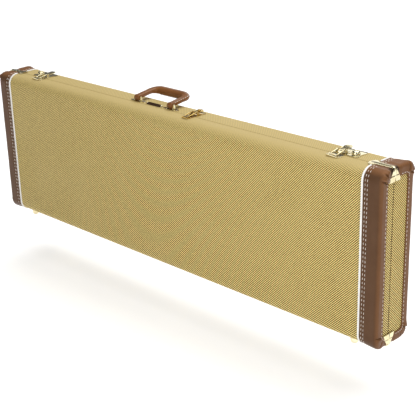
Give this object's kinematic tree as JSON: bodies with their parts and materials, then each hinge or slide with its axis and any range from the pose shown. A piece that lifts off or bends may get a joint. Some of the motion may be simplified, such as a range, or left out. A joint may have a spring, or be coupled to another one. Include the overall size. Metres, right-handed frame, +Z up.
{
  "type": "guitar case",
  "caption": "Long rectangular hard-shell guitar case standing on its bottom edge, with a bottom-hinged lid, draw latches, a key lock, a leather handle and a padded interior.",
  "frame": {"origin": "under the middle of the case's bounding box, on the surface that the feet stand on", "axes": "+X along the case towards the latch end seen nearest on the right, +Y from the lid towards the base's back, +Z up towards the handle"},
  "size_m": [1.2298, 0.1216, 0.4105],
  "materials": {
    "tweed": "woven twill in straw yellow and brown, lacquered",
    "vinyl": "fine grain, semi-gloss, stitched",
    "piping": "glossy cream",
    "brass": "polished plate",
    "steel": "brushed",
    "leather": "glossy, edge stitched",
    "plush": "short pile"
  },
  "bodies": {
    "base": {"base_shell": "tweed", "base_lining": "plush", "base_end_cover_left": "vinyl", "base_end_cover_right": "vinyl", "base_piping_left": "piping", "base_piping_right": "piping", "base_corner_guard_top_left": "brass", "base_corner_guard_top_right": "brass", "base_corner_guard_bottom_left": "brass", "base_corner_guard_bottom_right": "brass", "foot_base_left": "brass", "foot_base_right": "brass", "base_valance": "steel", "hinge_1_base_leaf": "brass", "hinge_2_base_leaf": "brass", "hinge_3_base_leaf": "brass", "hinge_1_pin": "brass", "hinge_2_pin": "brass", "hinge_3_pin": "brass", "handle_bracket_left": "brass", "handle_bracket_right": "brass", "under_handle_strip": "leather", "latch_left_plate": "brass", "latch_right_plate": "brass", "lock_plate": "brass", "accessory_box": "plush", "neck_rest": "plush", "waist_pad_lower": "plush", "waist_pad_upper": "plush"},
    "lid": {"lid_shell": "tweed", "lid_lining": "plush", "lid_end_cover_left": "vinyl", "lid_end_cover_right": "vinyl", "lid_piping_left": "piping", "lid_piping_right": "piping", "lid_corner_guard_top_left": "brass", "lid_corner_guard_top_right": "brass", "lid_corner_guard_bottom_left": "brass", "lid_corner_guard_bottom_right": "brass", "foot_lid_left": "brass", "foot_lid_right": "brass", "hinge_1_lid_leaf": "brass", "hinge_2_lid_leaf": "brass", "hinge_3_lid_leaf": "brass", "latch_left_catch": "brass", "latch_right_catch": "brass", "lock_catch": "brass"},
    "handle": {"handle_grip": "leather"},
    "accessory_door": {"accessory_door": "plush", "accessory_pull_tab": "leather"},
    "latch_left_lever": {"latch_left_lever": "brass"},
    "latch_left_hook": {"latch_left_hook": "brass"},
    "latch_right_lever": {"latch_right_lever": "brass"},
    "latch_right_hook": {"latch_right_hook": "brass"},
    "lock_lever": {"lock_lever": "brass"},
    "lock_hook": {"lock_hook": "brass"},
    "lock_cylinder": {"lock_cylinder": "brass"}
  },
  "joints": [
    {"name": "lid_hinge", "type": "hinge", "parent": "base", "child": "lid", "pos_m": [0, -0.01713, 0.0061], "axis": [1, 0, 0], "range_deg": [0, 100]},
    {"name": "handle_swing", "type": "hinge", "parent": "base", "child": "handle", "pos_m": [-0.063, -0.00843, 0.3928], "axis": [1, 0, 0], "range_deg": [0, 165]},
    {"name": "accessory_door_hinge", "type": "hinge", "parent": "base", "child": "accessory_door", "pos_m": [0.29, -0.00993, 0.0931], "axis": [-1, 0, 0], "range_deg": [0, 26]},
    {"name": "latch_left_lever_pivot", "type": "hinge", "parent": "base", "child": "latch_left_lever", "pos_m": [-0.479, -0.00813, 0.3888], "axis": [1, 0, 0], "range_deg": [0, 95]},
    {"name": "latch_left_hook_pivot", "type": "hinge", "parent": "latch_left_lever", "child": "latch_left_hook", "pos_m": [-0.479, -0.00263, 0.3894], "axis": [1, 0, 0], "range_deg": [-100, 0]},
    {"name": "latch_right_lever_pivot", "type": "hinge", "parent": "base", "child": "latch_right_lever", "pos_m": [0.479, -0.00813, 0.3888], "axis": [1, 0, 0], "range_deg": [0, 95]},
    {"name": "latch_right_hook_pivot", "type": "hinge", "parent": "latch_right_lever", "child": "latch_right_hook", "pos_m": [0.479, -0.00263, 0.3894], "axis": [1, 0, 0], "range_deg": [-100, 0]},
    {"name": "lock_lever_pivot", "type": "hinge", "parent": "base", "child": "lock_lever", "pos_m": [0.069, -0.00813, 0.3888], "axis": [1, 0, 0], "range_deg": [0, 95]},
    {"name": "lock_hook_pivot", "type": "hinge", "parent": "lock_lever", "child": "lock_hook", "pos_m": [0.069, -0.00263, 0.3894], "axis": [1, 0, 0], "range_deg": [-100, 0]},
    {"name": "lock_cylinder_turn", "type": "hinge", "parent": "lock_lever", "child": "lock_cylinder", "pos_m": [0.069, 0.00637, 0.39177], "axis": [0, -0.0872, 0.9962], "range_deg": [0, 90]}
  ],
  "couplings": [
    {"joint": "latch_left_hook_pivot", "follows": "latch_left_lever_pivot", "ratio": -1.05},
    {"joint": "latch_right_hook_pivot", "follows": "latch_right_lever_pivot", "ratio": -1.05},
    {"joint": "lock_hook_pivot", "follows": "lock_lever_pivot", "ratio": -1.05}
  ]
}
